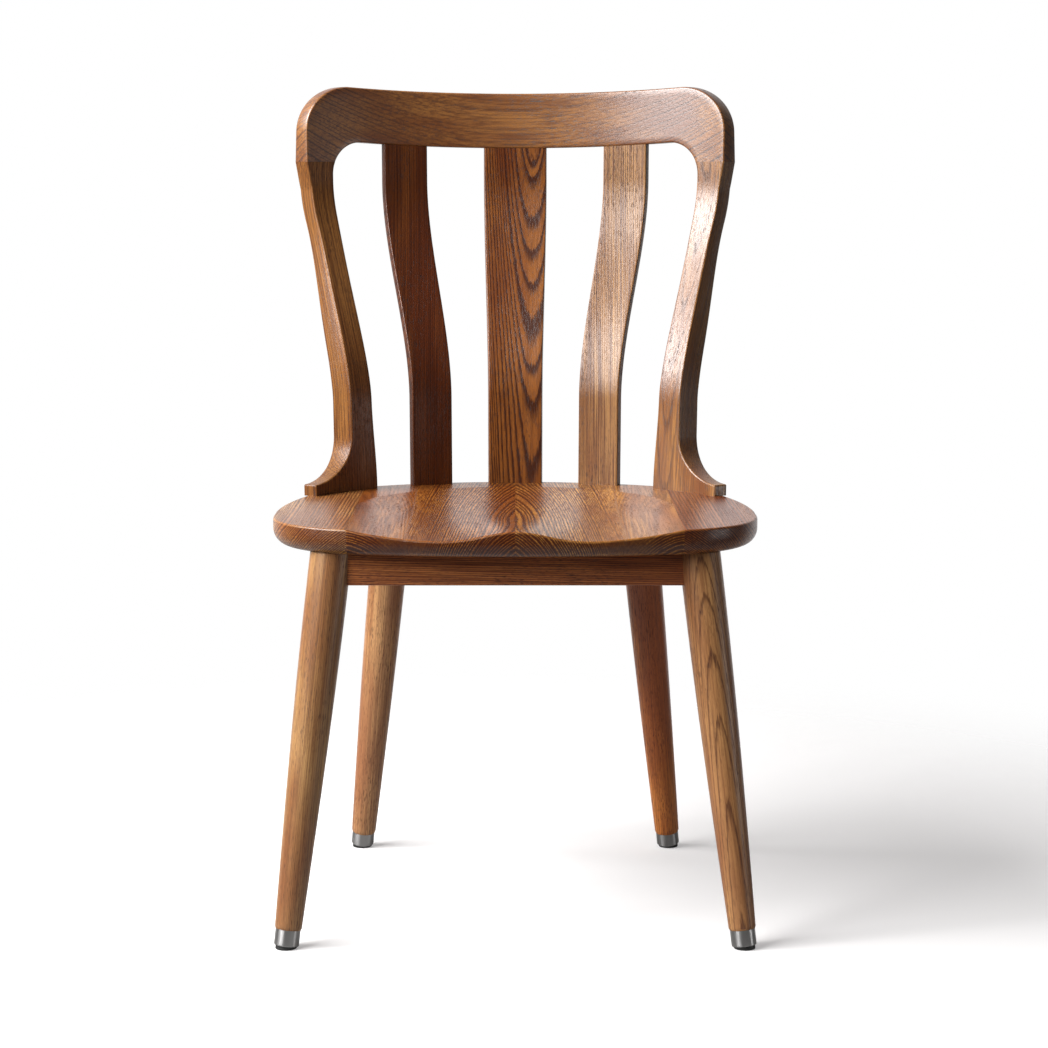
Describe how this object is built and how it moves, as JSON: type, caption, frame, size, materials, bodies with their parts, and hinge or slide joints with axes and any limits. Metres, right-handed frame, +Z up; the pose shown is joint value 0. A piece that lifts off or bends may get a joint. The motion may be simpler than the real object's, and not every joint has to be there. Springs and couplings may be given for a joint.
{
  "type": "dining chair",
  "caption": "Wooden dining chair with a saddled seat, a curved back of upright slats under a bowed crest rail, and splayed tapered legs in steel ferrules.",
  "frame": {"origin": "on the floor under the middle of the chair", "axes": "+X to the right when the chair is seen from the front, +Y from the seat's front edge towards the back, +Z up"},
  "size_m": [0.5154, 0.5517, 0.8985],
  "materials": {
    "seat_wood": "glued-up boards, stained warm brown under semi-gloss lacquer",
    "frame_wood": "open-grained wood, stained warm brown under semi-gloss lacquer",
    "rail_wood": "planed wood, stained darker brown with a satin lacquer",
    "dowel_wood": "plain beech dowel",
    "ferrule_steel": "brushed tube with a rounded rim",
    "screw_steel": "plain zinc-plated steel",
    "glide_plastic": "matt black moulded plastic"
  },
  "bodies": {
    "root": {"seat_board_left": "seat_wood", "seat_board_mid_left": "seat_wood", "seat_board_mid_right": "seat_wood", "seat_board_right": "seat_wood", "crest_rail": "frame_wood", "stile_left": "frame_wood", "stile_right": "frame_wood", "slat_left": "frame_wood", "slat_centre": "frame_wood", "slat_right": "frame_wood", "apron_front": "rail_wood", "apron_rear": "rail_wood", "apron_left": "rail_wood", "apron_right": "rail_wood", "corner_block_front_left": "rail_wood", "corner_block_front_right": "rail_wood", "corner_block_rear_left": "rail_wood", "corner_block_rear_right": "rail_wood", "leg_front_left": "frame_wood", "leg_front_right": "frame_wood", "leg_rear_left": "frame_wood", "leg_rear_right": "frame_wood", "ferrule_front_left": "ferrule_steel", "ferrule_front_right": "ferrule_steel", "ferrule_rear_left": "ferrule_steel", "ferrule_rear_right": "ferrule_steel", "glide_front_left": "glide_plastic", "glide_front_right": "glide_plastic", "glide_rear_left": "glide_plastic", "glide_rear_right": "glide_plastic", "crest_dowels": "dowel_wood", "apron_dowels": "dowel_wood", "stile_screws": "screw_steel", "block_screws": "screw_steel", "seat_screws": "screw_steel", "glide_nails": "screw_steel"}
  },
  "joints": []
}
